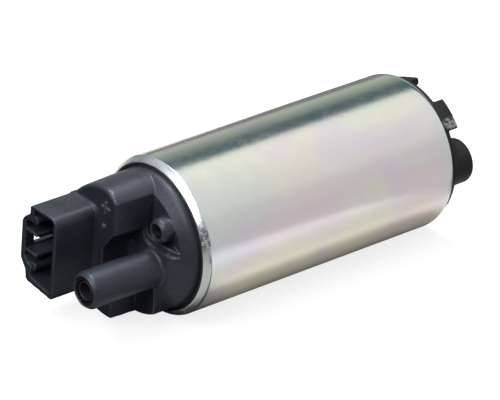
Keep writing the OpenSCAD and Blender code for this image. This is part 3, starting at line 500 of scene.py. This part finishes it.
def winding():
    """Enamelled wire laid side by side."""
    k = Look("enamelled_copper", rough=0.28, metal=1.0, base=(0.62, 0.25, 0.10))
    w = k.n.new("ShaderNodeTexWave")
    w.wave_type = "RINGS"
    w.rings_direction = "X"
    w.inputs["Scale"].default_value = 640.0
    w.inputs["Distortion"].default_value = 1.2
    w.inputs["Detail"].default_value = 1.0
    w.inputs["Detail Scale"].default_value = 0.6
    k.l.new(k.tc, w.inputs["Vector"])
    h = w.outputs["Fac"]
    m = k.noise(0.003, 2.0, 0.5)
    # painted shade: the copper darkens from each turn's crest into the grooves between turns
    c = k.mix(h, (0.16, 0.045, 0.015), (0.66, 0.27, 0.10))
    c = k.mix(k.mapr(m, 0.4, 0.7, 0, 0.4), c, (0.45, 0.13, 0.05))
    k.to(c, "Base Color")
    k.to(k.mapr(m, 0.3, 0.7, 0.2, 0.4), "Roughness")
    k.bump(h, 0.8, 0.0002)
    k.const(Coat_Weight=0.4, Coat_Roughness=0.15)
    return k.m


def lamination():
    """Stacked sheets, 0.5 mm each along X."""
    k = Look("lamination", rough=0.4, metal=1.0, base=(0.30, 0.31, 0.33))
    w = k.n.new("ShaderNodeTexWave")
    w.wave_type = "BANDS"
    w.bands_direction = "X"
    w.wave_profile = "SAW"
    w.inputs["Scale"].default_value = 320.0
    k.l.new(k.tc, w.inputs["Vector"])
    h = w.outputs["Fac"]
    g = k.noise(0.0006, 3.0, 0.6)
    c = k.mix(k.mapr(h, 0.0, 0.25, 0, 1), (0.08, 0.085, 0.09), (0.33, 0.34, 0.36))
    c = k.mix(k.mapr(g, 0.5, 0.8, 0, 0.4), c, (0.42, 0.40, 0.37))
    k.to(c, "Base Color")
    k.to(k.mapr(g, 0.3, 0.7, 0.3, 0.5), "Roughness")
    k.bump(h, 0.4, 0.00006)
    return k.m


MATS = {
    "plated_steel": plated_steel(),
    "black_moulding": black_moulding(),
    "dark_casting": cast_dark(),
    "casing": metal("casing", (0.42, 0.43, 0.45), 0.42, grain=0.0007, bumpy=0.4),
    "ring_black": moulded("ring_black", (0.008, 0.008, 0.009), 0.48),
    "tin_brass": metal("tin_brass", (0.74, 0.69, 0.52), 0.26, grain=0.0004, stretch=(0.1, 1, 1)),
    "ferrite": moulded("ferrite", (0.055, 0.05, 0.05), 0.6, grain=0.0004, bumpy=0.5),
    "enamelled_copper": winding(),
    "copper": metal("copper", (0.80, 0.42, 0.26), 0.30, grain=0.0003, stretch=(0.2, 1, 1), patina=(0.45, 0.22, 0.13)),
    "brown_moulding": moulded("brown_moulding", (0.055, 0.030, 0.018), 0.45),
    "tan_moulding": moulded("tan_moulding", (0.14, 0.105, 0.065), 0.5),
    "carbon": moulded("carbon", (0.022, 0.022, 0.024), 0.55, grain=0.0003, bumpy=0.45),
    "spring_steel": metal("spring_steel", (0.36, 0.365, 0.38), 0.34, grain=0.0002, stretch=(1, 1, 1), dark=0.4),
    "bronze": metal("bronze", (0.58, 0.42, 0.22), 0.38, grain=0.0003, bumpy=0.5, patina=(0.30, 0.19, 0.09)),
    "ground_steel": metal("ground_steel", (0.66, 0.67, 0.69), 0.14, grain=0.0003, stretch=(1, 0.05, 0.05), spread=0.05, dark=0.85, bumpy=0.08),
    "lamination": lamination(),
    "natural_moulding": moulded("natural_moulding", (0.62, 0.58, 0.47), 0.45, mott=0.08),
    "valve_rubber": moulded("valve_rubber", (0.09, 0.016, 0.010), 0.6, grain=0.0004),
}
SLOT_OF = {s["node"]: s["material_slot"] for s in frame["record"]["subparts"]}


def dress(o, slot):
    o.data.materials.clear()
    o.data.materials.append(MATS[slot])


for name, o in NODES.items():
    dress(o, SLOT_OF[name])
    for p in o.data.polygons:
        p.material_index = 0


# ------------------------------------------------------------ modelled pieces
def mesh_object(name, me, slot, body, *replaced):
    o = bpy.data.objects.new(name, me)
    scene.collection.objects.link(o)
    me.materials.clear()
    me.materials.append(MATS[slot])
    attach(o, body)
    if replaced:
        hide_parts(*replaced)
    return o


def evaluated(o, name):
    bpy.context.view_layer.update()
    dg = bpy.context.evaluated_depsgraph_get()
    me = bpy.data.meshes.new_from_object(o.evaluated_get(dg))
    me.name = name
    return me


def moulded_copy(node, voxel, passes, most, name, crisp=None, pale_from=-1.0):
    """The node's solid with its edges and corners softened as a mould leaves them: remeshed finely, relaxed and thinned.
    Inside the box crisp it is relaxed once only."""
    src = NODES[node]
    me = src.data.copy()
    bm = bmesh.new()
    bm.from_mesh(me)
    bmesh.ops.remove_doubles(bm, verts=bm.verts, dist=2e-7)
    bm.to_mesh(me)
    bm.free()
    o = bpy.data.objects.new("tmp_" + name, me)
    scene.collection.objects.link(o)
    r = o.modifiers.new("r", "REMESH")
    r.mode = "VOXEL"
    r.voxel_size = voxel
    r.adaptivity = 0.0
    fine = evaluated(o, name + "_fine")
    bpy.data.objects.remove(o)
    n = len(fine.vertices)
    co = np.empty(n * 3)
    fine.vertices.foreach_get("co", co)
    co = co.reshape(-1, 3)
    e = np.empty(len(fine.edges) * 2, np.int64)
    fine.edges.foreach_get("vertices", e)
    e = e.reshape(-1, 2)
    deg = np.bincount(e.ravel(), minlength=n).astype(float)[:, None]
    step = np.full((n, 1), 0.55)
    for i in range(passes):
        if i == 1 and crisp is not None:
            low, high = (np.array(v) * MM for v in crisp)
            step[np.all((co > low) & (co < high), axis=1)] = 0.0
        acc = np.empty_like(co)
        for a in range(3):
            acc[:, a] = np.bincount(e[:, 0], co[e[:, 1], a], n) + np.bincount(e[:, 1], co[e[:, 0], a], n)
        co += step * (acc / np.maximum(deg, 1) - co)
    low, high = (np.array(v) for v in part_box(node))
    co = np.clip(co, low, high)
    fine.vertices.foreach_set("co", co.astype(np.float32).ravel())
    fine.update()
    # how proud each spot stands of what lies round it, kept as an attribute: convex edges and raised marks are painted
    # paler from it, partly rubbed wear, partly painted highlight
    nrm = np.empty(n * 3, np.float32)
    fine.vertices.foreach_get("normal", nrm)
    nrm = nrm.reshape(-1, 3)
    flat = co.copy()
    for _ in range(9):
        acc = np.empty_like(flat)
        for a in range(3):
            acc[:, a] = np.bincount(e[:, 0], flat[e[:, 1], a], n) + np.bincount(e[:, 1], flat[e[:, 0], a], n)
        flat += 0.6 * (acc / np.maximum(deg, 1) - flat)
    proud = ((co - flat) * nrm).sum(axis=1) / voxel
    wear_and_highlight = np.clip((proud - 0.16) / 0.42, 0, 1)
    wear_and_highlight[co[:, 0] < pale_from] = 0.0
    # painted highlight: the raised marks inside crisp are painted pale all over
    if crisp is not None:
        low, high = (np.array(v) * MM for v in crisp)
        raised = np.all((co > low) & (co < high), axis=1) & (co[:, 0] > low[0] + 0.15 * MM)
        wear_and_highlight[raised] = np.maximum(wear_and_highlight[raised], 0.85)
    at = fine.attributes.new("wear_and_highlight", "FLOAT", "POINT")
    at.data.foreach_set("value", wear_and_highlight.astype(np.float32))
    tris = sum(len(p.vertices) - 2 for p in fine.polygons)
    if tris > most:
        o = bpy.data.objects.new("tmp_" + name, fine)
        scene.collection.objects.link(o)
        d = o.modifiers.new("d", "DECIMATE")
        d.ratio = most / tris
        out = evaluated(o, name)
        bpy.data.objects.remove(o)
    else:
        out = fine
        out.name = name
    out.polygons.foreach_set("use_smooth", [True] * len(out.polygons))
    return out


vox = 0.15
cover = mesh_object("outlet_cover_moulding", moulded_copy("outlet_cover", vox * MM, 3, 190000, "outlet_cover_moulding",
                                                          [[51.32, -3.2, 5.5], [52.5, 0.9, 13.5]], 0.0384),
                    "black_moulding", "housing", "outlet_cover")
inlet = mesh_object("inlet_cover_casting", moulded_copy("inlet_cover", vox * MM, 7, 110000, "inlet_cover_casting"),
                    "dark_casting", "housing", "inlet_cover")


def spline_profile(points, per=6):
    """Catmull-Rom through [radius, x] points; a third entry, tension, is not used."""
    out = []
    n = len(points)
    for i in range(n - 1):
        p0 = np.array(points[max(i - 1, 0)][:2]); p1 = np.array(points[i][:2])
        p2 = np.array(points[i + 1][:2]); p3 = np.array(points[min(i + 2, n - 1)][:2])
        k = per if np.linalg.norm(p2 - p1) < 5 else 40
        t1 = (p2 - p0) / 2; t2 = (p3 - p1) / 2
        d = np.linalg.norm(p2 - p1)
        for t, near in ((t1, p1), (t2, p2)):
            m = np.linalg.norm(t)
            if m > d:
                t *= d / m
        for j in range(k):
            u = j / k
            h00, h10 = 2 * u**3 - 3 * u**2 + 1, u**3 - 2 * u**2 + u
            h01, h11 = -2 * u**3 + 3 * u**2, u**3 - u**2
            out.append(h00 * p1 + h10 * t1 + h01 * p2 + h11 * t2)
    out.append(np.array(points[-1][:2]))
    return np.array(out)


def revolve(profile, segments, name):
    """A closed ring of revolution about X from [radius, x] in millimetres."""
    a = np.arange(segments) * 2 * math.pi / segments
    P = np.asarray(profile) * MM
    n = len(P)
    co = np.empty((segments, n, 3))
    co[:, :, 0] = P[None, :, 1]
    co[:, :, 1] = P[None, :, 0] * np.cos(a)[:, None]
    co[:, :, 2] = P[None, :, 0] * np.sin(a)[:, None]
    idx = np.arange(segments * n).reshape(segments, n)
    nxt = np.roll(idx, -1, 0)
    q = np.stack([idx, nxt, np.roll(nxt, -1, 1), np.roll(idx, -1, 1)], -1).reshape(-1, 4)
    me = bpy.data.meshes.new(name)
    me.from_pydata(co.reshape(-1, 3).tolist(), [], q.tolist())
    me.update()
    bm = bmesh.new()
    bm.from_mesh(me)
    bmesh.ops.recalc_face_normals(bm, faces=bm.faces)
    bm.to_mesh(me)
    bm.free()
    me.polygons.foreach_set("use_smooth", [True] * len(me.polygons))
    return me, co


R, xo, xi = 19.0, 37.5, -37.5
Ri = 17.8
outer = [
    [R - 1.62, xi + 0.02], [R - 0.95, xi + 0.02], [R - 0.78, xi + 0.05], [R - 0.55, xi + 0.16], [R - 0.32, xi + 0.42], [R - 0.14, xi + 0.86], [R - 0.04, xi + 1.35], [R, xi + 1.95],
    [R, 0], [R, xo - 1.75], [R - 0.03, xo - 1.5], [R - 0.13, xo - 1.27], [R - 0.33, xo - 1.0], [R - 0.75, xo - 0.56], [R - 1.18, xo - 0.13], [R - 1.34, xo - 0.02], [R - 1.48, xo - 0.01],
    [R - 1.58, xo - 0.12], [R - 1.6, xo - 0.3], [R - 1.6, xo - 1.3]]
inner = [[Ri + 0.01, xo - 1.9], [Ri + 0.01, xi + 1.4], [Ri - 0.84, xi + 0.62]]
prof = np.concatenate([spline_profile(outer, 6), np.array(inner)])
prof[:, 0] = np.minimum(prof[:, 0], R - 0.0095)
shell_me, _ = revolve(prof, 480, "housing_shell_rolled")
shell = mesh_object("housing_shell_rolled", shell_me, "plated_steel", "housing", "housing_shell")


def shade(o, angle=34):
    """Shades a carried-over CAD node smooth with its corners kept; its shape isn't touched."""
    me = o.data
    me.polygons.foreach_set("use_smooth", [True] * len(me.polygons))
    me.set_sharp_from_angle(angle=math.radians(angle))


for name, o in NODES.items():
    if name not in ("housing_shell", "outlet_cover", "inlet_cover"):
        shade(o)
